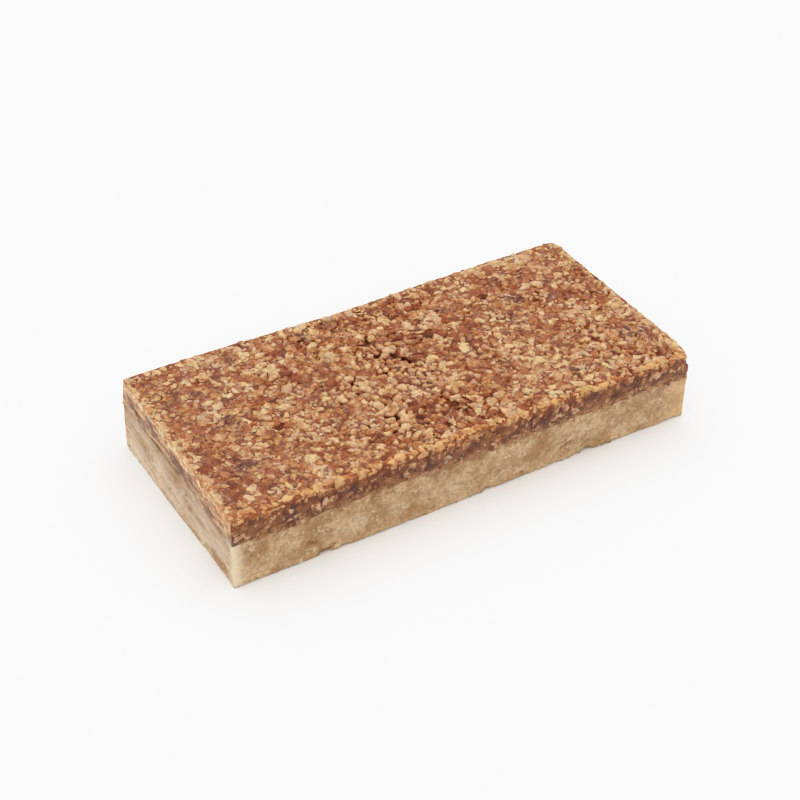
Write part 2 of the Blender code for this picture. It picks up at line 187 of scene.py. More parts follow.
# Places on the top that stand out: x, y, reach and depth of the dark hollows between the nuts.
HOLLOWS = (
    (8.7, 7.3, 1.3, 1.1), (25.7, 13.3, 0.9, 0.7), (22.7, 12.8, 0.6, 0.6), (19.7, 9.9, 0.6, 0.7),
    (6.3, 15.6, 0.9, 0.7), (-5.0, 0.9, 0.9, 0.9), (-9.7, -11.6, 0.7, 1.1), (-9.4, -13.9, 0.7, 1.0),
    (-6.0, -14.2, 0.6, 0.8), (-17.0, -3.1, 0.6, 1.0), (-15.7, 5.6, 0.6, 0.8), (-12.3, 0.9, 0.7, 0.8),
    (-45.3, 14.9, 0.7, 0.7), (-37.7, 15.8, 0.9, 0.5), (-30.7, -4.4, 0.8, 0.6), (-26.3, 2.3, 0.6, 0.7),
    (-2.7, -18.4, 0.6, 0.9), (20.0, -3.1, 0.7, 0.8), (38.0, -6.4, 0.9, 0.8), (44.7, -20.1, 0.8, 0.7),
    (-21.0, 12.0, 0.6, 0.7), (1.5, -4.0, 0.7, 0.7), (14.0, -13.0, 0.6, 0.7),
)
# Purple-brown stains of date skin: x, y and reach.
STAINS = (
    (-37.7, 1.9, 3.0), (-40.3, 12.3, 2.2), (-42.0, -11.0, 4.2), (30.7, 9.9, 2.4), (25.7, 12.6, 1.8),
    (-2.0, -6.4, 3.2), (-8.0, -16.0, 3.0), (26.0, -16.7, 2.8), (27.0, 4.6, 2.6), (-12.0, 19.0, 2.6),
    (12.0, 6.0, 2.4), (44.0, -12.0, 3.0), (-30.0, 19.0, 2.0),
)
# Big pale nuts that catch the eye: x, y, half length, half width and turn in degrees.
PALE_NUTS = (
    (-17.7, 15.3, 1.7, 1.4, 40), (-30.7, 1.6, 1.6, 1.1, 60), (-3.3, 14.3, 2.2, 1.2, 85),
    (12.7, 0.3, 2.1, 1.5, 70), (-4.7, -1.7, 2.0, 1.5, 20), (18.7, -21.3, 1.8, 1.3, 15),
    (20.6, -20.6, 1.3, 1.0, 80), (-19.7, -22.2, 1.6, 1.1, 30), (-17.5, -22.8, 1.5, 1.2, 100),
    (37.3, -4.1, 2.1, 0.8, 10), (4.7, -17.7, 1.7, 1.2, 50), (-2.7, -20.7, 1.5, 1.1, 90),
    (-24.7, -12.4, 1.3, 0.9, 0), (21.0, -8.4, 2.2, 0.8, 130), (-41.0, 6.0, 1.3, 0.9, 20),
    (-26.0, 19.5, 1.8, 1.2, 150), (9.5, -21.8, 1.5, 1.0, 5), (33.0, -1.0, 1.5, 1.0, 45),
)


# ---- the form of the bar


def wander(u, v, lane, wavelength):
    """Smooth noise over a surface, about -1 to 1. Each lane has its own pattern."""
    place = (u / wavelength, v / wavelength, LANE_STEP * lane + LANE_START)
    return NOISE_GAIN * noise.noise(Vector(place))


def unevenness(u, v, patterns, lane=0):
    """The sum of several patterns of noise. The lane is counted on from each pattern's own."""
    return sum(depth * wander(u, v, own + lane, wavelength) for depth, own, wavelength in patterns)


def clamp(value):
    return min(1.0, max(0.0, value))


def fade(low, high, value):
    """0 up to low, 1 from high, and smooth between."""
    t = clamp((value - low) / (high - low))
    return t * t * (3.0 - 2.0 * t)


def swell(value, middle, reach):
    """1 at the middle, falling away to 0 on both sides."""
    return math.exp(-(((value - middle) / reach) ** 2))


def torn_at(x, y):
    """1 in the torn-up middle of the top, 0 where it was pressed smooth."""
    torn = swell(x, TORN_AT, TORN_REACH) + TORN_RIGHT * fade(*TORN_RIGHT_X, x)
    return clamp(torn + TORN_EDGE * wander(x, y, *TORN_PATTERN))


def top_sag(x, y):
    """How far the pressed top lies under the bar's full height."""
    back_dip = BACK_DIP * swell(x, BACK_DIP_AT, BACK_DIP_REACH) * fade(*BACK_DIP_Y, y)
    back_left = fade(*BACK_RISE_Y, y) * fade(*BACK_RISE_X, x)
    sag = TOP_SAG * max(0.0, 1.0 + SAG_UNEVEN * wander(x, y, *SAG_PATTERN))
    corner = swell(x, LENGTH / 2, CORNER_REACH) * swell(y, FRONT, CORNER_REACH)
    return back_dip + sag * (1.0 - BACK_RISE * back_left) + CORNER_WEAR * corner


def left_lean(y, z):
    """How far the left end leans in at a place on it."""
    return LEAN_IN * fade(*LEAN_Y, y) * z / HEIGHT


def quarter(x, y):
    """The signs of the quarter of the plan that a point lies in."""
    return (1 if x > 0 else -1), (1 if y > 0 else -1)


def topping_plan(x, y, z=HEIGHT):
    """Half the topping's length, half its width and its nearest corner's radius, at a point."""
    lean = left_lean(y, z) * fade(*LEAN_X, x)
    bay = BACK_BAY * swell(x, BACK_BAY_AT, BACK_BAY_REACH) if y > 0 else 0.0
    rounding = SEAM_CORNER + (1.0 - SEAM_CORNER) * fade(SEAM_HEIGHT + RIM_RADIUS, HEIGHT, z)
    return LENGTH / 2 - lean, WIDTH / 2 - bay, CORNER_RADII[quarter(x, y)] * rounding


def held_in_plan(x, y, plan, inset):
    """The point, moved onto the rounded outline (set in by the inset) if it lies outside that."""
    side_x, side_y = quarter(x, y)
    half_x, half_y, radius = plan[0] - inset, plan[1] - inset, plan[2]
    along, across = min(half_x, abs(x)), min(half_y, abs(y))
    past_x, past_y = along - (half_x - radius), across - (half_y - radius)
    past = math.hypot(past_x, past_y)
    if past_x > 0 and past_y > 0 and past > radius:
        along = half_x - radius + past_x * radius / past
        across = half_y - radius + past_y * radius / past
    return side_x * along, side_y * across


def rounded_in_plan(x, y, plan, inset):
    """A point of a square-cornered slab, moved so that the slab's corners follow the outline's."""
    side_x, side_y = quarter(x, y)
    half_x, half_y, radius = plan[0] - inset, plan[1] - inset, plan[2]
    along, across = abs(x) * half_x / (LENGTH / 2), abs(y) * half_y / (WIDTH / 2)
    past_x, past_y = along - (half_x - radius), across - (half_y - radius)
    if past_x > 0 and past_y > 0:
        share = max(past_x, past_y) / math.hypot(past_x, past_y)
        along += past_x * (share - 1.0)
        across += past_y * (share - 1.0)
    return side_x * along, side_y * across


def from_side(x, y, z=HEIGHT):
    """How far inside the topping's nearest cut side a point lies."""
    half_x, half_y, _ = topping_plan(x, y, z)
    return min(half_x - abs(x), half_y - abs(y))


def top_height(x, y):
    """Height of the pressed top at a point: it is worn round along its rim."""
    rim = clamp(from_side(x, y) / RIM_RADIUS)
    worn = RIM_DROP * (1.0 - math.sqrt(1.0 - (1.0 - rim) ** 2))
    return HEIGHT - top_sag(x, y) - worn


def depth_in(x, y, z):
    """How deep a point lies in the topping, from its top or from its nearest cut side."""
    return max(0.0, min(top_height(x, y) - z, from_side(x, y, z)))


def cut_side_at(x, y, z):
    """1 on the knife-cut sides of the topping, 0 on its top and on the lip round it."""
    half_x, half_y, _ = topping_plan(x, y, z)
    lip = LEFT_LIP if half_x + x < half_y - abs(y) else RIM_LIP
    outward = fade(*CUT_SKIN, from_side(x, y, z))
    return outward * fade(HEIGHT - lip + LIP_ABOVE, HEIGHT - lip - LIP_BELOW, z)


def seam_shift(x, y):
    """How far the seam lies off its height: it waves, and runs up and down over single nuts."""
    return unevenness(x, y, SEAM_WAVES), unevenness(x, y, SEAM_RAG)


def rim_at(x, y):
    """1 on the rim of the top, 0 from a few millimetres in."""
    return fade(*RIM_BAND, from_side(x, y))


def crack_at(x, y):
    """0 to 1: how far open the top lies, in branching cracks between the clumps of its torn middle."""
    ridge = max(0.0, 1.0 - abs(wander(x, y, *CRACK_PATTERN)) / CRACK_WIDTH)
    return ridge * torn_at(x, y) * fade(*CRACKED_SHARE, wander(x, y, *CRACKED_PATTERN))


def hollow_at(x, y):
    """Extra depth of the paste in the dark hollows."""
    deep = 0.0
    for at_x, at_y, reach, depth in HOLLOWS:
        gone = math.hypot(x / MM - at_x, y / MM - at_y) / reach
        if gone < HOLLOW_END:
            deep = max(deep, depth * math.exp(-gone * gone))
    return deep * MM


def stain_at(x, y):
    """0 to 1: how purple-brown the date paste is."""
    gone = [((x / MM - at_x) ** 2 + (y / MM - at_y) ** 2) / reach**2 for at_x, at_y, reach in STAINS]
    return clamp(math.exp(-min(gone)) + STAIN_EDGE * wander(x, y, *STAIN_PATTERN))


def round_the_sides(run):
    """The signs of the side that a distance round the bar leads to, and the place on it."""
    if run < LENGTH:
        return 0, -1, run - LENGTH / 2, FRONT
    if run < LENGTH + WIDTH:
        return 1, 0, LENGTH / 2, run - LENGTH - WIDTH / 2
    if run < 2 * LENGTH + WIDTH:
        return 0, 1, run - LENGTH - WIDTH - LENGTH / 2, WIDTH / 2
    return -1, 0, LEFT, run - 2 * LENGTH - WIDTH - WIDTH / 2


# ---- chopped nuts and their heaps


class Bed:
    """Nuts on a flat rectangle, in coordinates u and v. No two lie closer than their radii allow."""

    def __init__(self, rng, reach_u, reach_v):
        self.rng = rng
        self.reach_u = reach_u
        self.reach_v = reach_v
        self.cells = {}

    @staticmethod
    def cell_of(u, v):
        return int(u // BED_CELL), int(v // BED_CELL)

    def neighbours(self, u, v):
        along, across = self.cell_of(u, v)
        for i in (along - 1, along, along + 1):
            for j in (across - 1, across, across + 1):
                yield from self.cells.get((i, j), ())

    def lay(self, smallest, largest, wanted, spread=NUT_SPREAD, tries=NUT_TRIES):
        """Adds up to the wanted number of nuts, and returns them as (u, v, radius)."""
        laid = []
        for _ in range(tries):
            if len(laid) == wanted:
                break
            radius = self.rng.uniform(smallest, largest)
            u = self.rng.uniform(*self.reach_u)
            v = self.rng.uniform(*self.reach_v)
            near = self.neighbours(u, v)
            if any(math.hypot(u - a, v - b) < spread * (radius + r) for a, b, r in near):
                continue
            self.cells.setdefault(self.cell_of(u, v), []).append((u, v, radius))
            laid.append((u, v, radius))
        return laid


def own_lumps(rng):
    """Where in the noise a chunk finds its own lumps."""
    return Vector((rng.uniform(0.0, 50.0), rng.uniform(0.0, 50.0), 0.5))


def chopped_nut(rng, radius, rounds=2, slim=1.0):
    """A blunt lump of four to six sides, longer one way than the others, its edges rubbed round."""
    bm = bmesh.new()
    ends = (rng.uniform(0.80, 1.05), rng.uniform(0.95, 1.15))
    bmesh.ops.create_cone(
        bm, cap_ends=True, segments=rng.choice((4, 5, 5, 6)), radius1=ends[0], radius2=ends[1], depth=2.0
    )
    for vert in bm.verts:
        vert.co = Vector([c * rng.uniform(0.78, 1.08) for c in vert.co])
    size = (rng.uniform(0.95, 1.20), slim * rng.uniform(0.70, 0.95), rng.uniform(0.50, 0.65))
    bmesh.ops.scale(bm, vec=[radius * part for part in size], verts=bm.verts)
    how = {"affect": "EDGES", "segments": rounds, "profile": 0.5, "material": -1}
    bmesh.ops.bevel(bm, geom=bm.edges[:], offset=EDGE_WEAR * radius, **how)
    bm.normal_update()
    for end in (max(bm.faces, key=lambda f: f.normal.z), min(bm.faces, key=lambda f: f.normal.z)):
        bmesh.ops.inset_individual(bm, faces=[end], thickness=END_INSET * radius, depth=END_SWELL * radius)
    lumps = own_lumps(rng)
    for vert in bm.verts:
        vert.co *= 1.0 + LUMPS * noise.noise(vert.co / (0.9 * radius) + lumps)
    return bm


def nut_crumb(rng, radius):
    """A knobbly crumb of nut."""
    bm = bmesh.new()
    bmesh.ops.create_icosphere(bm, subdivisions=2 if radius > TOP_FINE[0][0] else 1, radius=radius)
    lumps = own_lumps(rng)
    for vert in bm.verts:
        knob = noise.noise(1.2 * vert.co / radius + lumps)
        knob += 0.5 * noise.noise(2.9 * vert.co / radius + lumps)
        vert.co *= 1.0 + 2 * LUMPS * knob
    size = (rng.uniform(1.00, 1.45), rng.uniform(0.62, 0.95), rng.uniform(0.50, 0.75))
    bmesh.ops.scale(bm, vec=size, verts=bm.verts)
    return bm


def fine_nut(rng, radius):
    """One of the finer pieces: some are chopped with flat faces, the others are crumbs."""
    if rng.random() < CRUMB_SHARE:
        return nut_crumb(rng, radius)
    return chopped_nut(rng, radius, rounds=1)


def any_turn(rng):
    return Euler([rng.uniform(0.0, math.tau) for _ in range(3)])


def tilted(rng, tilt):
    """A turn any way round, tilted a little."""
    return Euler((rng.uniform(-tilt, tilt), rng.uniform(-tilt, tilt), rng.uniform(0.0, math.tau)))


def put(chunk, place, turn):
    seat = Matrix.Translation(place) @ turn.to_matrix().to_4x4()
    bmesh.ops.transform(chunk, matrix=seat, verts=chunk.verts)


def press(point, plan, shrink, start, share):
    """Flattens what stands above the pressed top, and cuts off what stands out past the knife."""
    x, y = held_in_plan(point.x, point.y, plan, shrink)
    z = max(SEAM_HEIGHT + LAYER_GAP + 2 * SEAM_WANDER + shrink, point.z)
    flat = top_height(x, y) - start - shrink
    if z > flat:
        z = min(HEIGHT, flat + share * (z - flat))
    return Vector((x, y, z))


def seated(chunk, place, turn, plan, shrink, start=PRESS_START, share=PRESS_SHARE):
    put(chunk, place, turn)
    for vert in chunk.verts:
        vert.co = press(vert.co, plan, shrink, start, share)
    bmesh.ops.recalc_face_normals(chunk, faces=chunk.faces)


def own_shrink(index):
    """Each nut is cut off a little further in than the next, so that no two share a plane."""
    return CUT_SHRINK * (index * CUT_SHRINK_STEP % 1.0)


# What the finishes know of a point: its piece's tone and coat, how deep it lies, how purple the paste
# is there, whether a knife cut it, and how near it is to its piece's edge.
KNOWN = ("tone", "coat", "seat", "stain", "cut", "edge")


class Heap:
    """All the loose pieces of one kind, joined in one mesh, with what their finish needs to know."""

    def __init__(self):
        self.bm = bmesh.new()
        for name in KNOWN:
            self.bm.verts.layers.float.new(name)
        self.carrier = bpy.data.meshes.new("carrier")

    def add(self, chunk, tone, coat):
        """Adds one chunk. Every point gets the chunk's tone and coat, and what its own place gives."""
        layers = [chunk.verts.layers.float.new(name) for name in KNOWN]
        middle = sum((vert.co for vert in chunk.verts), Vector()) / len(chunk.verts)
        reach = max((vert.co - middle).length for vert in chunk.verts)
        for vert in chunk.verts:
            seat = min(1.0, depth_in(*vert.co) / SEAT_DEPTH)
            edge = (vert.co - middle).length / reach
            known = (tone, coat, seat, stain_at(*vert.co.xy), cut_side_at(*vert.co), edge)
            for layer, value in zip(layers, known):
                vert[layer] = value
        chunk.to_mesh(self.carrier)
        chunk.free()
        self.bm.from_mesh(self.carrier)

    def finish(self, name, material):
        bpy.data.meshes.remove(self.carrier)
        return as_piece(name, self.bm, material)


def as_piece(name, bm, material, smooth=True):
    mesh = bpy.data.meshes.new(name)
    bm.to_mesh(mesh)
    bm.free()
    mesh.materials.append(material)
    if smooth:
        mesh.shade_smooth()
        mesh.set_sharp_from_angle(angle=math.radians(75.0))
    piece = bpy.data.objects.new(name, mesh)
    bpy.context.scene.collection.objects.link(piece)
    return piece


def kind_for(rng, x, y, radius):
    """Which heap a nut belongs to. The rim is paler, the big ones are hardly ever skin or date."""
    draw = 0.06 + 0.88 * rng.random() + unevenness(x, y, KIND_PATCHES) - 0.25 * rim_at(x, y)
    if radius > BIG_NUT:
        draw -= 0.12
    return next(kind for kind, up_to in KINDS if draw < up_to)


def drop_in(heaps, rng, chunk, x, y, radius, up=HEIGHT):
    """Puts a nut in its heap. On the cut sides the paste is smeared over the nuts, more so lower down."""
    smeared = 0.4 * fade(HEIGHT - 1.2 * MM, HEIGHT - 2.2 * MM, up)
    bare = 1.0 - 0.5 * rim_at(x, y) * (1.0 - smeared)
    coat = min(1.0, 0.8 * bare * rng.random() ** 1.4 + smeared * rng.random())
    heaps[kind_for(rng, x, y, radius)].add(chunk, bare * (0.12 + 0.70 * rng.random()), coat)


# ---- the nuts of the topping


def big_top_nuts(heaps, bed):
    """The nuts of the top that the solid carries, in the same places."""
    laid = [nut for sizes in TOP_NUTS for nut in bed.lay(*sizes)]
    for index, (u, v, radius) in enumerate(laid):
        rng = random.Random(TOP_NUT_SEED + index)
        depth = PASTE_DEPTH + PASTE_LOSS * torn_at(u, v) * rng.random()
        depth += radius * rng.uniform(0.0, 0.2)
        turn = tilted(rng, 0.5)
        chunk = chopped_nut(rng, radius)
        place = Vector((u, v, top_height(u, v) - depth + 0.08 * MM))
        seated(chunk, place, turn, topping_plan(*place), own_shrink(index), 0.25 * MM)
        drop_in(heaps, rng, chunk, u, v, radius)


def pale_top_nuts(heaps):
    rng = random.Random(PALE_SEED)
    for x_mm, y_mm, half_length, half_width, turn_deg in PALE_NUTS:
        x, y, radius = mm(x_mm, y_mm, half_length)
        chunk = chopped_nut(rng, radius, slim=1.15 * half_width / half_length)
        turn = Euler((rng.uniform(-0.15, 0.15), rng.uniform(-0.15, 0.15), math.radians(turn_deg)))
        place = Vector((x, y, top_height(x, y) - 0.62 * radius))
        seated(chunk, place, turn, topping_plan(x, y), 0.02 * MM, 0.10 * MM, 0.3)
        heaps["pale"].add(chunk, rng.uniform(0.0, 0.25), 0.0)


def fine_top_nuts(heaps, bed):
    """The finer nuts and crumbs between them, which leave the hollows and the cracks open."""
    rng = random.Random(FINE_SEED)
    for sizes in (*TOP_FINE, TOP_CRUMBS):
        for u, v, radius in bed.lay(*sizes):
            gap = hollow_at(u, v)
            widest = CRACK_FOR_CRUMB if radius < TOP_CRUMBS[1] else CRACK_FOR_NUT
            if gap > DEEPEST_GAP or crack_at(u, v) > widest:
                continue
            torn = torn_at(u, v)
            sink = (0.12 + 0.40 * torn) * rng.random() ** 1.5 * MM + gap
            chunk = fine_nut(rng, radius)
            turn = tilted(rng, 0.25 + 0.45 * torn)
            place = Vector((u, v, top_height(u, v) - sink - 0.52 * radius))
            start = (0.05 + 0.14 * rng.random() - 0.25 * rim_at(u, v) * rng.random()) * MM
            shrink = 0.16 * MM * rng.random()
            seated(chunk, place, turn, topping_plan(*place), shrink, start, 0.25 + 0.4 * torn)
            drop_in(heaps, rng, chunk, u, v, radius)


def rim_nuts(heaps):
    """A row of nuts along the rim. Some stand out a little, and there are gaps between them."""
    rng = random.Random(RIM_SEED)
    run = 0.0
    while run < ROUND_THE_BAR:
        radius = rng.uniform(*RIM_NUT)
        if rng.random() < RIM_GAP_SHARE:
            run += 1.5 * radius
        place = side_place(run, rng.uniform(0.25, 1.10) * radius, HEIGHT)
        place.z = top_height(place.x, place.y) - (0.50 * radius + 0.45 * MM * rng.random())
        wide = [part + 0.16 * MM * rng.random() for part in topping_plan(*place)]
        turn = tilted(rng, 0.5)
        chunk = fine_nut(rng, radius)
        seated(chunk, place, turn, wide, 0.0, -0.12 * MM * rng.random(), 0.5)
        drop_in(heaps, rng, chunk, place.x, place.y, radius)
        run += radius * rng.uniform(0.9, 2.3)


def big_side_nuts(heaps, bed):
    """The nuts of the cut sides that the solid carries, in the same places."""
    laid = [nut for sizes in SIDE_NUTS for nut in bed.lay(*sizes)]
    for index, (run, up, radius) in enumerate(laid):
        rng = random.Random(SIDE_NUT_SEED + index)
        place = side_place(run, radius * rng.uniform(0.30, 0.50), up)
        turn = any_turn(rng)
        chunk = chopped_nut(rng, radius)
        seated(chunk, place, turn, topping_plan(*place), own_shrink(len(laid) + index))
        drop_in(heaps, rng, chunk, place.x, place.y, radius, up)


def fine_side_nuts(heaps, bed):
    rng = random.Random(SIDE_FINE_SEED)
    bed.reach_v = SIDE_FINE_HEIGHTS
    for sizes in SIDE_FINE:
        for run, up, radius in bed.lay(*sizes):
            place = side_place(run, radius * rng.uniform(0.30, 0.70), up)
            turn = any_turn(rng)
            chunk = fine_nut(rng, radius)
            seated(chunk, place, turn, topping_plan(*place), 0.12 * MM * rng.random())
            drop_in(heaps, rng, chunk, place.x, place.y, radius, up)


def seam_crumbs(heaps):
    """Crumbs along the seam of the front, the right end and the back. The left end is smeared."""
    rng = random.Random(SEAM_SEED)
    for _ in range(SEAM_CRUMBS):
        up = SEAM_HEIGHT + rng.uniform(-0.3, 1.4) * MM
        radius = rng.uniform(*SEAM_CRUMB)
        place = side_place(rng.uniform(0.0, ROUND_THE_BAR - WIDTH), 0.15 * radius, up)
        place.z += sum(seam_shift(place.x, place.y))
        chunk = nut_crumb(rng, radius)
        put(chunk, place, any_turn(rng))
        cut_off = 0.12 * MM * rng.random()
        for vert in chunk.verts:
            vert.co.x, vert.co.y = held_in_plan(vert.co.x, vert.co.y, (LENGTH / 2, WIDTH / 2, 0.0), cut_off)
        bmesh.ops.recalc_face_normals(chunk, faces=chunk.faces)
        kind, _ = rng.choice(KINDS)
        heaps[kind].add(chunk, rng.random(), 0.2)


def side_place(run, inward, up):
    """The place of a nut at a distance round the bar and a height, set in from the knife cut."""
    side_x, side_y, x, y = round_the_sides(run)
    x, y = x - side_x * inward, y - side_y * inward
    return Vector((*held_in_plan(x, y, topping_plan(x, y, up), inward), up))


def topping_nuts(heaps):
    """Every piece on the top and round the sides of the topping, the solids' own nuts first."""
    reach_u, reach_v = LENGTH / 2 - RIM_RADIUS / 2, WIDTH / 2 - RIM_RADIUS / 2
    top_bed = Bed(random.Random(SEED), (-reach_u, reach_u), (-reach_v, reach_v))
    big_top_nuts(heaps, top_bed)
    pale_top_nuts(heaps)
    fine_top_nuts(heaps, top_bed)
    rim_nuts(heaps)
    heights = (SEAM_HEIGHT + RIM_RADIUS, HEIGHT - RIM_RADIUS)
    side_bed = Bed(random.Random(SIDE_SEED), (0.0, ROUND_THE_BAR), heights)
    big_side_nuts(heaps, side_bed)
    fine_side_nuts(heaps, side_bed)
    seam_crumbs(heaps)


# ---- the two layers


def walled_slab(top, low, cells, rows, fine_top=True):
    """A slab whose walls have this many cells round the top and rows down, on a fine or a plain top."""
    bm = bmesh.new()
    along, across = cells if fine_top else (1, 1)
    bmesh.ops.create_grid(bm, x_segments=along, y_segments=across, size=0.5)
    bmesh.ops.scale(bm, vec=(LENGTH, WIDTH, 1.0), verts=bm.verts)
    bmesh.ops.translate(bm, vec=(0.0, 0.0, top), verts=bm.verts)
    if not fine_top:
        bmesh.ops.delete(bm, geom=bm.faces[:], context="FACES_ONLY")
        lengthwise = [edge for edge in bm.edges if abs(edge.verts[0].co.x - edge.verts[1].co.x) > WIDTH]
        crosswise = [edge for edge in bm.edges if edge not in lengthwise]
        bmesh.ops.subdivide_edges(bm, edges=lengthwise, cuts=cells[0] - 1)
        bmesh.ops.subdivide_edges(bm, edges=crosswise, cuts=cells[1] - 1)
    upper_rim = rim = [edge for edge in bm.edges if len(edge.link_faces) < 2]
    for _ in range(rows):
        wall = bmesh.ops.extrude_edge_only(bm, edges=rim)["geom"]
        verts = [part for part in wall if isinstance(part, bmesh.types.BMVert)]
        bmesh.ops.translate(bm, vec=(0.0, 0.0, (low - top) / rows), verts=verts)
        rim = [part for part in wall if isinstance(part, bmesh.types.BMEdge) and part.is_boundary]
    bmesh.ops.contextual_create(bm, geom=rim)
    if not fine_top:
        lid = bmesh.ops.contextual_create(bm, geom=upper_rim)["faces"]
        bmesh.ops.inset_region(bm, faces=lid, thickness=LID_BORDER)
    bmesh.ops.recalc_face_normals(bm, faces=bm.faces)
    return bm


def sides_of(point):
    """Which sides of the box a point lies on, as (sign along X, sign along Y), each 0 if on neither."""
    along, across = 2 * point.x / LENGTH, 2 * point.y / WIDTH
    return (round(along) if abs(along) > 0.9999 else 0, round(across) if abs(across) > 0.9999 else 0)


def paste_inset(side_x, side_y, point):
    """How far inside the topping's plan a point of the paste lies. The smeared left end is smoother."""
    inset, rough = (PASTE_SET_BACK_LEFT, 0.4) if side_x == -1 else (PASTE_SET_BACK, 1.0)
    if side_x or side_y:
        run = point.y if side_x else point.x
        inset += rough * unevenness(run, point.z, PASTE_WALL, 3 * side_x + side_y)
    return max(LEAST_SET_BACK, inset)


def paste_depth(x, y, on_side):
    """How deep the paste lies under the pressed top: more in the torn middle, hollows and cracks."""
    torn = torn_at(x, y)
    relief = unevenness(x, y, PASTE_RELIEF) * (0.8 + 1.5 * torn)
    depth = PASTE_SUNK + PASTE_SUNK_TORN * torn + relief + hollow_at(x, y) + CRACK_DEPTH * crack_at(x, y)
    return max(LEAST_SUNK, depth) * (0.5 if on_side else 1.0)


def date_paste(material):
    """The paste between the nuts: just under them where the top was pressed, deep where it is torn."""
    bm = walled_slab(HEIGHT, PASTE_FOOT, PASTE_CELLS, PASTE_ROWS)
    seat, stain, cut = [bm.verts.layers.float.new(name) for name in ("seat", "stain", "cut")]
    for vert in bm.verts:
        x, y, z = vert.co
        side_x, side_y = sides_of(vert.co)
        inset = paste_inset(side_x, side_y, vert.co)
        vert.co.x, vert.co.y = rounded_in_plan(x, y, topping_plan(x, y, z), inset)
        top = top_height(*vert.co.xy)
        if z > HEIGHT - 0.05 * MM:
            depth = paste_depth(x, y, side_x or side_y)
            vert.co.z = top - depth
            vert[seat] = min(1.0, depth / SEAT_DEPTH)
        else:
            share = (HEIGHT - z) / (HEIGHT - PASTE_FOOT)
            shoulder = top - PASTE_SHOULDER
            vert.co.z = shoulder + (PASTE_FOOT + sum(seam_shift(x, y)) - shoulder) * share
            vert[seat] = 0.2 * fade(SEAM_HEIGHT + 0.4 * MM, SEAM_HEIGHT + 1.6 * MM, z)
        vert[stain] = stain_at(x, y)
        vert[cut] = cut_side_at(*vert.co)
    return as_piece("date_paste", bm, material)


def chip_depth(chips, x, z):
    """How deep a side lies in, in its shallow chips."""
    chips = [mm(*chip) for chip in chips]
    return sum(
        depth * math.exp(-(((x - at) ** 2 + (z - up) ** 2) / reach**2)) for at, up, reach, depth in chips
    )


def worn_at(marks, x, z, low, high):
    """1 inside the nearest of the marks, 0 from a little way outside it."""
    gone = min(math.hypot((x / MM - mark[0]) / mark[2], (z / MM - mark[1]) / mark[3]) for mark in marks)
    return fade(high, low, gone)


def pit_depth(x, z):
    """How deep the front of the base lies in, in its sharp pits. Their outlines are uneven."""
    x, z = x + unevenness(x, z, PIT_EDGE_X), z + unevenness(x, z, PIT_EDGE_Z)
    return max(mark[4] * MM * worn_at((mark,), x, z, 0.75, 1.15) for mark in FRONT_PITS)


def base_side_inset(side_x, side_y, point):
    """How far inside the bar's plan a point of the base's side lies."""
    lane = 3 * side_x + side_y
    run = point.y if side_x else point.x
    inset = BASE_INSETS[side_x, side_y] + unevenness(run, point.z, BASE_WALL, lane)
    dimple = Vector((run / DIMPLE_WAVE, point.z / DIMPLE_WAVE, 3.7 * (10 + lane)))
    inset += DIMPLE * fade(*DIMPLE_SIZE, noise.voronoi(dimple)[0][0])
    if side_x == -1:
        inset *= 1.0 - 0.9 * fade(0.6 * SEAM_HEIGHT, SEAM_HEIGHT, point.z)
        inset += left_lean(point.y, point.z)
    if side_y == -1:
        upright = 1.0 - 0.5 * point.z / SEAM_HEIGHT
        inset += FRONT_SET_BACK * upright * fade(*SET_BACK_X, point.x)
        inset += chip_depth(FRONT_CHIPS, point.x, point.z) + pit_depth(point.x, point.z)
    if side_y == 1:
        inset += chip_depth(BACK_CHIPS, point.x, point.z)
    return max(LEAST_INSET, inset)


def foot_lift(side_y, x, y):
    """How far the crumbled lower edge stands off the floor."""
    foot = FOOT_LIFT * max(0.0, wander(x, y, *FOOT_PATTERN) - FOOT_HELD)
    foot += FOOT_CRUMBLE * max(0.0, wander(x, y, *FOOT_CRUMB_PATTERN) - FOOT_CRUMBLE_HELD)
    if side_y == -1:
        foot += CHIP_LIFT * chip_depth(FRONT_CHIPS, x, 0.0)
    return foot


def ground_nut_base(material):
    """The pale layer: dense, cut clean at the sides, crumbling along its lower edge."""
    bm = walled_slab(BASE_TOP, 0.0, BASE_CELLS, BASE_ROWS, fine_top=False)
    pits, scrapes = [bm.verts.layers.float.new(name) for name in ("pit", "scrape")]
    for vert in bm.verts:
        side_x, side_y = sides_of(vert.co)
        x, y, z = place = vert.co.copy()
        upward = z / SEAM_HEIGHT
        wave, rag = seam_shift(x, y)
        vert.co.z += wave * fade(0.6, 1.0, upward) + rag * fade(0.8, 1.0, upward)
        vert.co.z += foot_lift(side_y, x, y) * fade(0.25, 0.0, upward)
        if side_x:
            vert.co.x -= side_x * base_side_inset(side_x, 0, place)
        if side_y:
            vert.co.y -= side_y * base_side_inset(0, side_y, place)
        if side_y and upward < 0.01:
            vert.co.y -= side_y * FOOT_STEP * fade(*FOOT_STEP_SHARE, wander(x, y, *FOOT_STEP_PATTERN))
        if side_y == -1:
            vert[pits] = worn_at(FRONT_PITS, x, z, 0.7, 1.3)
            vert[scrapes] = worn_at(FRONT_SCRAPES, x, z, 0.2, 1.6)
        if side_x and side_y:
            vert.co.x -= side_x * BASE_CORNER
            vert.co.y -= side_y * BASE_CORNER
    return as_piece("ground_nut_base", bm, material)


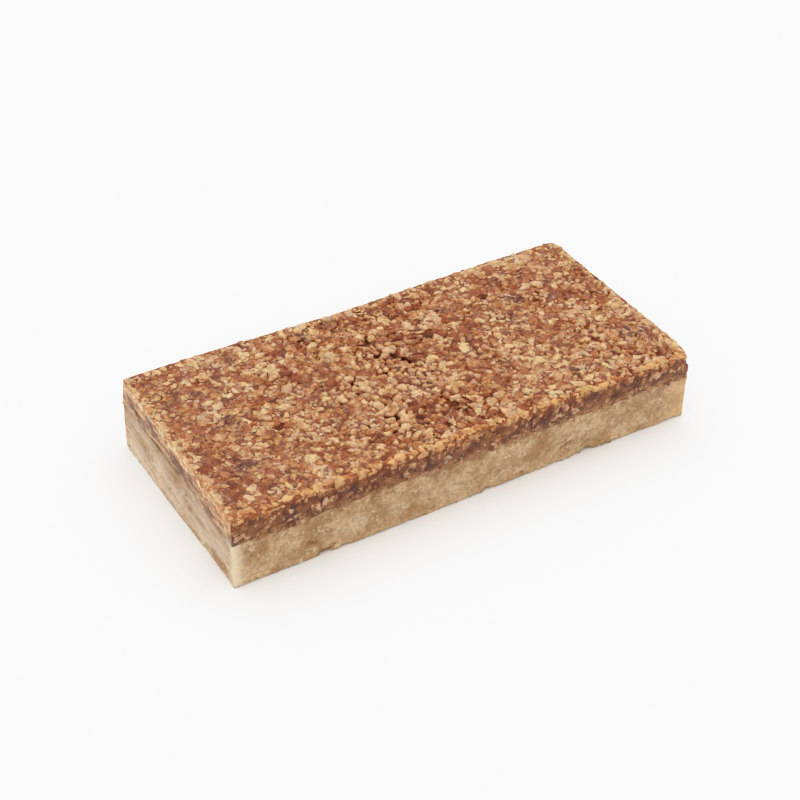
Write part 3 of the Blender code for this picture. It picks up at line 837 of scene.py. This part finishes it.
def base_crumbs(heap):
    """Crumbs that cling to the cut sides of the base, most of them along its lower edge."""
    rng = random.Random(BASE_SEED)
    for _ in range(BASE_CRUMBS):
        low = rng.random() < LOW_SHARE
        up = (0.15 + 0.9 * rng.random() ** 2) * MM if low else rng.uniform(0.5, 9.6) * MM
        radius = rng.uniform(*BASE_CRUMB)
        side_x, side_y, x, y = round_the_sides(rng.uniform(0.0, ROUND_THE_BAR))
        inset = base_side_inset(side_x, side_y, Vector((x, y, up))) + radius * rng.uniform(0.2, 0.5)
        lift = foot_lift(side_y, x, y)
        half_x, half_y = LENGTH / 2 - inset, WIDTH / 2 - inset
        most_x, most_y = half_x - CRUMB_FROM_CORNER, half_y - CRUMB_FROM_CORNER
        x = side_x * half_x if side_x else min(most_x, max(-most_x, x))
        y = side_y * half_y if side_y else min(most_y, max(-most_y, y))
        chunk = nut_crumb(rng, radius)
        put(chunk, (x, y, max(up, lift + 0.5 * radius)), any_turn(rng))
        for vert in chunk.verts:
            vert.co.z = max(0.0, vert.co.z)
        bmesh.ops.recalc_face_normals(chunk, faces=chunk.faces)
        heap.add(chunk, rng.random(), 0.0)


# ---- finishes

# The colour sockets of a mix node.
FIRST_COLOUR, SECOND_COLOUR, MIXED_COLOUR = 6, 7, 2


class Finish:
    """A food's material, built up node by node on Object coordinates."""

    def __init__(self, name, roughness, subsurface, depth_mm):
        self.material = bpy.data.materials.new(name)
        self.material.use_nodes = True
        self.nodes = self.material.node_tree.nodes
        self.links = self.material.node_tree.links
        self.shader = self.nodes["Principled BSDF"]
        for name, value in (
            ("Roughness", roughness),
            ("Subsurface Weight", subsurface),
            ("Subsurface Radius", (1.0, 0.62, 0.40)),
            ("Subsurface Scale", depth_mm * MM),
            ("Specular IOR Level", 0.25),
        ):
            self.shader.inputs[name].default_value = value
        self.place = self.nodes.new("ShaderNodeTexCoord").outputs["Object"]

    def feed(self, socket, value):
        if isinstance(value, bpy.types.NodeSocket):
            self.links.new(value, socket)
        else:
            socket.default_value = value

    def add(self, kind, **inputs):
        """A new node. Each of its named inputs gets a value, or a link from another node."""
        node = self.nodes.new("ShaderNode" + kind)
        for name, value in inputs.items():
            self.feed(node.inputs[name.replace("_", " ")], value)
        return node

    def grain(self, wave_mm, detail, rough, seed, level=None):
        """Noise, about 0 to 1, whose lumps are this many millimetres apart, or drawn out level."""
        place = self.place
        if level:
            turn, squeeze = (math.radians(level[0]), 0.0, 0.0), (1.0, level[1], 1.0)
            place = self.add("Mapping", Vector=place, Rotation=turn, Scale=squeeze).outputs["Vector"]
        node = self.add("TexNoise", Vector=place, Scale=1.0 / (wave_mm * MM), Detail=detail, Roughness=rough)
        node.noise_dimensions = "4D"
        node.inputs["W"].default_value = seed
        return node.outputs["Fac"]

    def specks(self, wave_mm):
        """The distance from the nearest of many scattered points."""
        return self.add("TexVoronoi", Vector=self.place, Scale=1.0 / (wave_mm * MM)).outputs["Distance"]

    def known(self, name):
        node = self.add("Attribute")
        node.attribute_name = name
        return node.outputs["Fac"]

    def axes(self):
        return self.add("SeparateXYZ", Vector=self.place).outputs

    def sum(self, first, second, kind="ADD", clamped=False):
        node = self.add("Math")
        node.operation = kind
        node.use_clamp = clamped
        self.feed(node.inputs[0], first)
        self.feed(node.inputs[1], second)
        return node.outputs[0]

    def times(self, first, second):
        return self.sum(first, second, "MULTIPLY")

    def step(self, value, low, high, to_low=0.0, to_high=1.0):
        """Rises smoothly from to_low to to_high as the value goes from low to high."""
        node = self.add("MapRange", Value=value, From_Min=low, From_Max=high, To_Min=to_low, To_Max=to_high)
        node.interpolation_type = "SMOOTHSTEP"
        return node.outputs["Result"]

    def patches(self, wave_mm, detail, rough, seed, low, high, to_low=0.0, to_high=1.0, level=None):
        """Soft-edged patches of grain: to_low between them and to_high inside them."""
        return self.step(self.grain(wave_mm, detail, rough, seed, level), low, high, to_low, to_high)

    def blend(self, share, first, second, kind="MIX"):
        node = self.add("Mix")
        node.data_type = "RGBA"
        node.blend_type = kind
        self.feed(node.inputs[0], share)
        self.feed(node.inputs[FIRST_COLOUR], first)
        self.feed(node.inputs[SECOND_COLOUR], second)
        return node.outputs[MIXED_COLOUR]

    def tint(self, colour, by, share=1.0):
        return self.blend(share, colour, by, "MULTIPLY")

    def ramp(self, value, colours):
        """The first colour at 0, the second at a half and the third at 1."""
        node = self.add("ValToRGB", Fac=value)
        points = node.color_ramp.elements
        points.new(0.5)
        for point, at, colour in zip(points, (0.0, 0.5, 1.0), colours):
            point.position = at
            point.color = colour
        return node.outputs["Color"]

    def bump(self, height, depth_mm, under=None):
        node = self.add("Bump", Height=height, Distance=depth_mm * MM)
        if under is not None:
            self.links.new(under, node.inputs["Normal"])
        return node.outputs["Normal"]

    def wear(self, colour, roughness=None, normal=None):
        """Puts the colour on, and the roughness and the relief where they are given."""
        for name, value in (("Base Color", colour), ("Roughness", roughness), ("Normal", normal)):
            if value is not None:
                self.links.new(value, self.shader.inputs[name])
        return self.material


def paint(red, green, blue):
    """A colour as it looks on the plate, 0 to 255, turned into light."""
    parts = [c / 255 for c in (red, green, blue)]
    return (*[c / 12.92 if c < 0.04045 else ((c + 0.055) / 1.055) ** 2.4 for c in parts], 1.0)


# The nuts, from pale to dark, where they are whole and where they are sliced.
CREAM = paint(232, 204, 168)
TAN = paint(213, 178, 147)
OCHRE = paint(194, 142, 98)
SLICES = (paint(218, 180, 149), paint(162, 112, 75), paint(112, 66, 38))
# The date paste, its skin, and the painted shade of its deepest hollows.
AMBER = paint(174, 104, 58)
RUST = paint(147, 73, 41)
BROWN = paint(113, 58, 29)
PURPLE = paint(98, 50, 48)
DATE_SKIN = paint(84, 42, 42)
PAINTED_DEEP_SHADE = paint(72, 38, 20)
# The cut sides of the topping.
UMBER = paint(107, 58, 33)
DUN = paint(160, 105, 66)
PLUM = paint(88, 55, 55)
NUT_DUST = paint(200, 144, 92)
# The smeared left end: dark and pale streaks of each layer, the painted shade of its slits, and the lip.
UPPER_STREAKS = (paint(120, 60, 26), paint(242, 194, 144))
LOWER_STREAKS = (paint(118, 68, 36), paint(218, 174, 130))
PAINTED_SLIT_SHADE = paint(80, 42, 22)
LIP = (paint(186, 110, 58), paint(255, 222, 176))
# Tints, which colours are multiplied by. Among them are painted shade for the crevices and a painted glow
# for the lit rims.
GLAZE = paint(240, 218, 190)
PAINTED_CREVICE_SHADE = paint(212, 159, 114)
YELLOWED = paint(254, 252, 227)
MILKY = paint(245, 238, 236)
PAINTED_RIM_GLOW = paint(255, 234, 208)
DIM_GRAIN = paint(240, 225, 200)
LIT_GRAIN = paint(254, 258, 266)
# The ground nuts of the base, with painted light among them: the left end's sheen, the pits' shade and the
# lit corners.
KHAKI = paint(174, 134, 90)
BEIGE = paint(210, 178, 138)
SHELL_GRAIN = paint(142, 102, 64)
CHALK = paint(228, 206, 172)
SHELL_SPECK = paint(124, 82, 48)
PALE_BIT = paint(238, 220, 190)
DRAGGED_CHALK_AND_SHEEN = paint(232, 214, 194)
SCRAPED = paint(226, 206, 176)
PAINTED_PIT_SHADE = paint(150, 104, 66)
SEAM_STAIN = paint(150, 100, 62)
PAINTED_LIT_CORNER = paint(244, 226, 194)
PAINTED_CORNER_GLOW = paint(234, 190, 136)
CRUMBS = (paint(234, 212, 176), paint(206, 170, 124), paint(160, 116, 74))

PAPER = (0.938, 0.95, 0.954, 1.0)
# Depths below the top: of the bare rim, and of the painted glow along the lit rim.
BARE_RIM_MM, PAINTED_GLOW_MM = 1.3, 3.2


def paste_colour(look):
    """Red-brown date paste: rust to brown in patches, purple where a date's skin lies in it."""
    small = look.patches(0.9, 4.0, 0.65, 5.0, 0.38, 0.62)
    red = look.blend(small, RUST, AMBER)
    brown = look.blend(small, BROWN, RUST)
    colour = look.blend(look.patches(4.0, 3.0, 0.6, 2.0, 0.40, 0.60), brown, red)
    stain = look.step(look.known("stain"), 0.25, 0.85, 0.0, 0.90)
    colour = look.blend(stain, colour, PURPLE)
    colour = look.blend(look.patches(1.5, 3.0, 0.6, 32.0, 0.60, 0.66, 0.0, 0.8), colour, DATE_SKIN)
    sliced = look.blend(look.patches(2.2, 3.0, 0.6, 15.0, 0.36, 0.64), UMBER, DUN)
    low = look.step(look.axes()["Z"], SEAM_HEIGHT + 1.4 * MM, SEAM_HEIGHT - 0.2 * MM)
    dust = look.times(low, look.patches(1.3, 5.0, 0.75, 31.0, 0.47, 0.53, 0.15, 0.95))
    sliced = look.blend(dust, sliced, NUT_DUST)
    sliced = look.blend(look.patches(2.2, 3.0, 0.6, 33.0, 0.51, 0.61, 0.0, 0.75), sliced, PLUM)
    return end_smear(look, look.blend(look.known("cut"), colour, sliced))


def end_smear(look, colour):
    """On the left end the knife dragged both layers together in pale streaks, almost level ones."""
    place = look.axes()
    level = (12.0, 0.34)
    streak = look.patches(2.0, 5.0, 0.75, 21.0, 0.44, 0.56, level=level)
    upper, lower = look.blend(streak, *UPPER_STREAKS), look.blend(streak, *LOWER_STREAKS)
    uneven = look.patches(2.5, 3.0, 0.6, 29.0, 0.3, 0.7, -1.0 * MM, 1.0 * MM, level)
    up = look.sum(place["Z"], uneven)
    smeared = look.blend(look.step(up, HEIGHT - LEFT_LIP, SEAM_HEIGHT + 1.2 * MM), upper, lower)
    # Painted shade: thin dark slits along the streaks, with no opening in the form.
    slit = look.patches(0.9, 3.0, 0.6, 28.0, 0.40, 0.34, 0.0, 0.85, level)
    smeared = look.blend(slit, smeared, PAINTED_SLIT_SHADE)
    end = look.step(place["X"], LEFT + 1.4 * MM, LEFT + 0.7 * MM)
    end = look.times(end, look.step(place["Y"], FRONT + 0.3 * MM, FRONT + 0.8 * MM))
    share = look.step(up, HEIGHT - LEFT_LIP + 0.8 * MM, HEIGHT - LEFT_LIP - 0.2 * MM, 0.0, 0.9)
    lip = look.blend(look.patches(1.6, 5.0, 0.7, 30.0, 0.40, 0.52), *LIP)
    lip_share = look.step(place["Z"], HEIGHT - 0.3 * MM, HEIGHT - 0.8 * MM, 0.35, 0.92)
    colour = look.blend(look.times(end, lip_share), colour, lip)
    return look.blend(look.times(share, end), colour, smeared)


def bare_rim_and_glow(look, depth_mm):
    """1 along the front and left rims of the top: there the nuts lie bare, and a painted glow stands for the
    light shining through them.
    """
    place = look.axes()
    front = look.step(place["Y"], FRONT + 2.4 * MM, FRONT + 1.0 * MM)
    high = look.step(place["Z"], HEIGHT - depth_mm * MM, HEIGHT - 0.5 * depth_mm * MM)
    left = look.step(place["X"], LEFT + 1.8 * MM, LEFT + 0.8 * MM, 0.0, 0.8)
    left = look.times(left, look.step(place["Z"], HEIGHT - 2.6 * MM, HEIGHT - 1.8 * MM))
    return look.sum(look.times(front, high), left, "MAXIMUM")


def nut_colour(look, tones):
    """A nut's own colour, by its tone: yellowed here and milky there, and darker where it is sliced."""
    mottle = look.patches(1.1, 4.0, 0.65, 1.0, 0.34, 0.66, -0.50, 0.50)
    tone = look.sum(look.known("tone"), mottle, clamped=True)
    hue = look.blend(look.patches(1.7, 3.0, 0.6, 23.0, 0.38, 0.62), YELLOWED, MILKY)
    own = look.tint(look.ramp(tone, tones), hue)
    return look.blend(look.known("cut"), own, look.ramp(tone, SLICES))


def paste_cover(look, coat_share):
    """How much paste lies on a nut: 0 and less where it is bare, 1 and more where it is covered."""
    cover = look.times(look.known("coat"), coat_share)
    for more in (
        look.step(look.known("seat"), 0.12, 0.60, 0.0, 0.72),
        look.times(look.known("cut"), 0.15),
        look.step(look.known("edge"), 0.60, 1.0, 0.0, 0.16),
        look.patches(9.0, 2.0, 0.5, 17.0, 0.36, 0.64, -0.28, 0.28),
        look.patches(2.6, 3.0, 0.6, 14.0, 0.38, 0.62, -0.36, 0.40),
        look.patches(0.8, 4.0, 0.65, 9.0, 0.34, 0.66, -0.26, 0.26),
        look.times(bare_rim_and_glow(look, BARE_RIM_MM), -0.48),
        look.step(look.known("stain"), 0.45, 0.95, 0.0, 0.42),
    ):
        cover = look.sum(cover, more)
    return cover


def nut_finish(name, tones, coat_share, roughness):
    """A chopped nut: bare on top, glazed and then coated in paste towards its edges, with painted shade and
    rim glow.
    """
    look = Finish(name, roughness, 0.5, 0.6)
    cover = paste_cover(look, coat_share)
    colour = nut_colour(look, tones)
    colour = look.tint(colour, GLAZE, look.step(cover, 0.05, 0.45, 0.0, 0.9))
    film = look.step(cover, 0.33, 0.82, 0.0, 0.86)
    colour = look.blend(film, colour, paste_colour(look))
    # Painted shade: the nut is darkened the deeper it lies among the others.
    colour = look.tint(colour, PAINTED_CREVICE_SHADE, look.step(look.known("seat"), 0.20, 0.70))
    # Painted light: the front and left rims glow, as if lit through.
    colour = look.tint(colour, PAINTED_RIM_GLOW, bare_rim_and_glow(look, PAINTED_GLOW_MM))
    fine = look.patches(0.40, 3.0, 0.65, 24.0, 0.32, 0.68)
    colour = look.tint(colour, look.blend(fine, DIM_GRAIN, LIT_GRAIN))
    relief = look.bump(look.grain(0.6, 5.0, 0.65, 4.0), 0.30)
    relief = look.bump(look.grain(1.4, 2.0, 0.5, 19.0), 0.35, relief)
    return look.wear(end_smear(look, colour), look.step(film, 0.0, 1.0, roughness, 0.40), relief)


def paste_finish():
    """The paste with flecks of nut in it, with painted shade: darker in the crevices and almost black in the
    deepest.
    """
    look = Finish("date_paste", 0.45, 0.40, 0.9)
    flecks = look.patches(0.9, 4.0, 0.65, 12.0, 0.48, 0.62, 0.0, 0.65)
    flecks = look.times(flecks, look.sum(1.0, look.known("cut"), "SUBTRACT"))
    nut = look.blend(look.grain(2.0, 2.0, 0.5, 0.0), TAN, OCHRE)
    colour = look.blend(flecks, paste_colour(look), nut)
    # Painted light: the front and left rims glow, as if lit through.
    colour = look.tint(colour, PAINTED_RIM_GLOW, bare_rim_and_glow(look, PAINTED_GLOW_MM))
    colour = look.tint(colour, look.patches(0.45, 4.0, 0.65, 25.0, 0.32, 0.68, 0.76, 1.10))
    # Painted shade: the paste is darkened in the crevices, by how deep it lies.
    colour = look.tint(colour, PAINTED_CREVICE_SHADE, look.step(look.known("seat"), 0.08, 0.40))
    # Painted shade: the paste turns almost black in the deepest hollows.
    colour = look.blend(look.step(look.known("seat"), 0.40, 0.95, 0.0, 0.9), colour, PAINTED_DEEP_SHADE)
    relief = look.bump(look.grain(0.5, 4.0, 0.65, 6.0), 0.35)
    return look.wear(colour, look.step(flecks, 0.0, 0.7, 0.38, 0.55), relief)


def ground_nuts(look, grains):
    """Khaki beige, blotched, with chalky patches, dark specks and pale bits."""
    colour = look.blend(look.patches(6.0, 3.0, 0.6, 3.0, 0.36, 0.62), KHAKI, BEIGE)
    colour = look.blend(grains, look.blend(0.45, colour, SHELL_GRAIN), colour)
    colour = look.blend(look.patches(2.6, 5.0, 0.72, 7.0, 0.55, 0.68, 0.0, 0.7), colour, CHALK)
    colour = look.blend(look.step(look.specks(2.1), 0.06, 0.13, 0.75, 0.0), colour, SHELL_SPECK)
    bits = look.step(look.specks(0.9), 0.10, 0.18, 0.6, 0.0)
    bits = look.times(bits, look.patches(5.0, 2.0, 0.5, 18.0, 0.42, 0.60))
    colour = look.blend(bits, colour, PALE_BIT)
    return look.tint(colour, look.patches(0.45, 3.0, 0.7, 8.0, 0.3, 0.7, 0.80, 1.26))


def base_finish():
    """Ground nuts, pressed dense: scraped and pitted, stained along the seam, smeared on the left end, with
    painted light and shade.
    """
    look = Finish("ground_nut_base", 0.50, 0.30, 1.4)
    place = look.axes()
    grains = look.patches(1.1, 4.0, 0.7, 13.0, 0.36, 0.62)
    colour = ground_nuts(look, grains)
    # The left end is paler: partly pale streaks the knife dragged, partly a painted sheen of the white
    # surroundings at a grazing angle.
    end = look.step(place["X"], LEFT + 2.2 * MM, LEFT + 0.6 * MM, 0.0, 0.55)
    dragged = look.patches(2.4, 4.0, 0.6, 22.0, 0.40, 0.60, level=(8.0, 0.25))
    colour = look.blend(end, colour, look.blend(dragged, colour, DRAGGED_CHALK_AND_SHEEN))
    scrape = look.times(look.known("scrape"), 0.7)
    scrape = look.times(look.patches(0.9, 4.0, 0.7, 26.0, 0.46, 0.58), scrape)
    colour = look.blend(scrape, colour, SCRAPED)
    # Painted shade: the front's pits are darkened inside.
    pit = look.times(look.known("pit"), look.step(grains, 0.2, 0.8, 0.65, 0.25))
    colour = look.blend(pit, colour, PAINTED_PIT_SHADE)
    up = look.sum(place["Z"], look.patches(1.5, 5.0, 0.75, 27.0, 0.3, 0.7, -1.9 * MM, 1.9 * MM))
    seam = look.step(up, SEAM_HEIGHT - 1.4 * MM, SEAM_HEIGHT + 0.4 * MM, 0.0, 0.78)
    seam = look.times(seam, look.step(place["X"], LEFT + 0.5 * MM, LEFT + 2.0 * MM))
    fainter = look.times(look.step(up, 4.5 * MM, SEAM_HEIGHT, 0.0, 0.55), end)
    colour = look.blend(look.sum(seam, fainter), colour, SEAM_STAIN)
    # Painted light: the base is brightened towards its foot, standing in for light bounced off the floor.
    painted_floor_bounce = look.step(place["Z"], 4.5 * MM, 0.5 * MM, 1.0, 1.14)
    colour = look.tint(colour, painted_floor_bounce)
    # Painted light: a pale stripe along the lit edge of the front-left corner.
    near_x = look.step(place["X"], LEFT + 2.8 * MM, LEFT, 0.0, 0.75)
    near_y = look.step(place["Y"], FRONT + 2.4 * MM, FRONT + 0.2 * MM)
    colour = look.blend(look.times(near_x, near_y), colour, PAINTED_LIT_CORNER)
    # Painted light: a warm glow on the front towards the right end's corner.
    painted_glow = look.step(place["X"], LENGTH / 2 - 6.5 * MM, LENGTH / 2, 0.0, 0.5)
    painted_glow = look.times(painted_glow, look.step(place["Y"], FRONT + 4.6 * MM, FRONT + 0.8 * MM, 0.15, 1.0))
    colour = look.blend(painted_glow, colour, PAINTED_CORNER_GLOW)
    relief = look.bump(look.grain(0.5, 4.0, 0.7, 10.0), 0.32)
    relief = look.bump(look.grain(1.6, 3.0, 0.6, 11.0), 0.50, relief)
    return look.wear(colour, None, relief)


def crumb_finish():
    look = Finish("ground_nut_crumb", 0.6, 0.25, 0.8)
    return look.wear(look.ramp(look.known("tone"), CRUMBS))


def paper_finish():
    look = Finish("white_sweep", 0.9, 0.0, 1.0)
    look.shader.inputs["Base Color"].default_value = PAPER
    look.shader.inputs["Specular IOR Level"].default_value = 0.0
    return look.material


# ---- table, light and camera

FLOOR_HALF = 4.0
TENT = 0.60
WINDOW, WINDOW_SPREAD, WINDOW_TINT = 1.02, math.radians(70.0), (1.0, 0.985, 0.96)
WINDOW_FROM = (0.10, 0.16, 0.97)

# How the exposure of the white sweep rolls off: light that falls on it, and what the picture shows.
ROLL_OFF = (
    (0.245, 0.3475), (0.49, 0.695), (0.56, 0.785), (0.63, 0.850), (0.70, 0.897), (0.77, 0.932),
    (0.875, 0.956), (1.0, 0.972),
)

VIEW_AZIMUTH = math.radians(-31.49)
VIEW_HEIGHT = math.radians(37.48)
VIEW_ROLL = math.radians(0.98)
VIEW_DISTANCE = 3.633 * LENGTH
VIEW_TARGET = Vector((0.0367, 0.0912, 0.0)) * LENGTH
LENS_MM, SENSOR_MM = 81.0, 36.0


def set_table():
    bm = bmesh.new()
    bmesh.ops.create_grid(bm, x_segments=1, y_segments=1, size=FLOOR_HALF)
    floor = as_piece("white_sweep", bm, paper_finish(), smooth=False)


def set_light():
    world = bpy.data.worlds.new("white_tent")
    world.use_nodes = True
    backdrop = world.node_tree.nodes["Background"]
    backdrop.inputs["Color"].default_value = (1.0, 1.0, 1.0, 1.0)
    backdrop.inputs["Strength"].default_value = TENT
    bpy.context.scene.world = world

    lamp = bpy.data.lights.new("window", "SUN")
    lamp.energy = WINDOW
    lamp.angle = WINDOW_SPREAD
    lamp.color = WINDOW_TINT
    window = bpy.data.objects.new("window", lamp)
    window.rotation_euler = Vector(WINDOW_FROM).to_track_quat("Z", "Y").to_euler()
    bpy.context.scene.collection.objects.link(window)
    bpy.context.scene.view_settings.view_transform = "Standard"
    set_roll_off(bpy.context.scene.view_settings)


def set_roll_off(view):
    """Lets the brightest tones roll off softly, as in an amply lit studio picture."""
    view.use_curve_mapping = True
    mapping = view.curve_mapping
    mapping.use_clip = False
    curve = mapping.curves[3]
    curve.points[-1].location = ROLL_OFF[-1]
    for at, shown in ROLL_OFF[:-1]:
        curve.points.new(at, shown)
    mapping.extend = "HORIZONTAL"
    mapping.update()


def set_camera():
    """The camera at the photo's angle, rolled a little."""
    back = Vector(
        (
            math.sin(VIEW_AZIMUTH) * math.cos(VIEW_HEIGHT),
            -math.cos(VIEW_AZIMUTH) * math.cos(VIEW_HEIGHT),
            math.sin(VIEW_HEIGHT),
        )
    )
    right = (-back).cross(Vector((0.0, 0.0, 1.0))).normalized()
    up = back.cross(right)
    right, up = (
        math.cos(VIEW_ROLL) * right + math.sin(VIEW_ROLL) * up,
        math.cos(VIEW_ROLL) * up - math.sin(VIEW_ROLL) * right,
    )
    lens = bpy.data.cameras.new("camera")
    lens.lens = LENS_MM
    lens.sensor_width = SENSOR_MM
    lens.clip_start = 10 * MM
    camera = bpy.data.objects.new("camera", lens)
    turn = Matrix((right, up, back)).transposed().to_4x4()
    camera.matrix_world = Matrix.Translation(VIEW_TARGET + VIEW_DISTANCE * back) @ turn
    bpy.context.scene.collection.objects.link(camera)
    bpy.context.scene.camera = camera


# ---- putting it together


def build():
    set_camera()
    set_light()
    set_table()

    base = ground_nut_base(base_finish())
    clinging = Heap()
    base_crumbs(clinging)
    crumbs = clinging.finish("base_crumbs", crumb_finish())
    for piece in (base, crumbs):
        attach(piece, "root")
        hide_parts("nut_base")

    topping = [date_paste(paste_finish())]
    heaps = {kind: Heap() for kind, _ in KINDS}
    topping_nuts(heaps)
    finishes = {
        "pale": nut_finish("pale_nut", (CREAM, TAN, OCHRE), 0.30, 0.55),
        "golden": nut_finish("golden_nut", (TAN, OCHRE, AMBER), 0.35, 0.45),
        "skinned": nut_finish("skinned_nut", (OCHRE, AMBER, RUST), 0.40, 0.50),
        "date": nut_finish("date_bit", (AMBER, RUST, BROWN), 0.60, 0.38),
    }
    for kind, heap in heaps.items():
        topping.append(heap.finish(kind + "_pieces", finishes[kind]))
    for piece in topping:
        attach(piece, "root")
        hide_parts("nut_topping")


build()
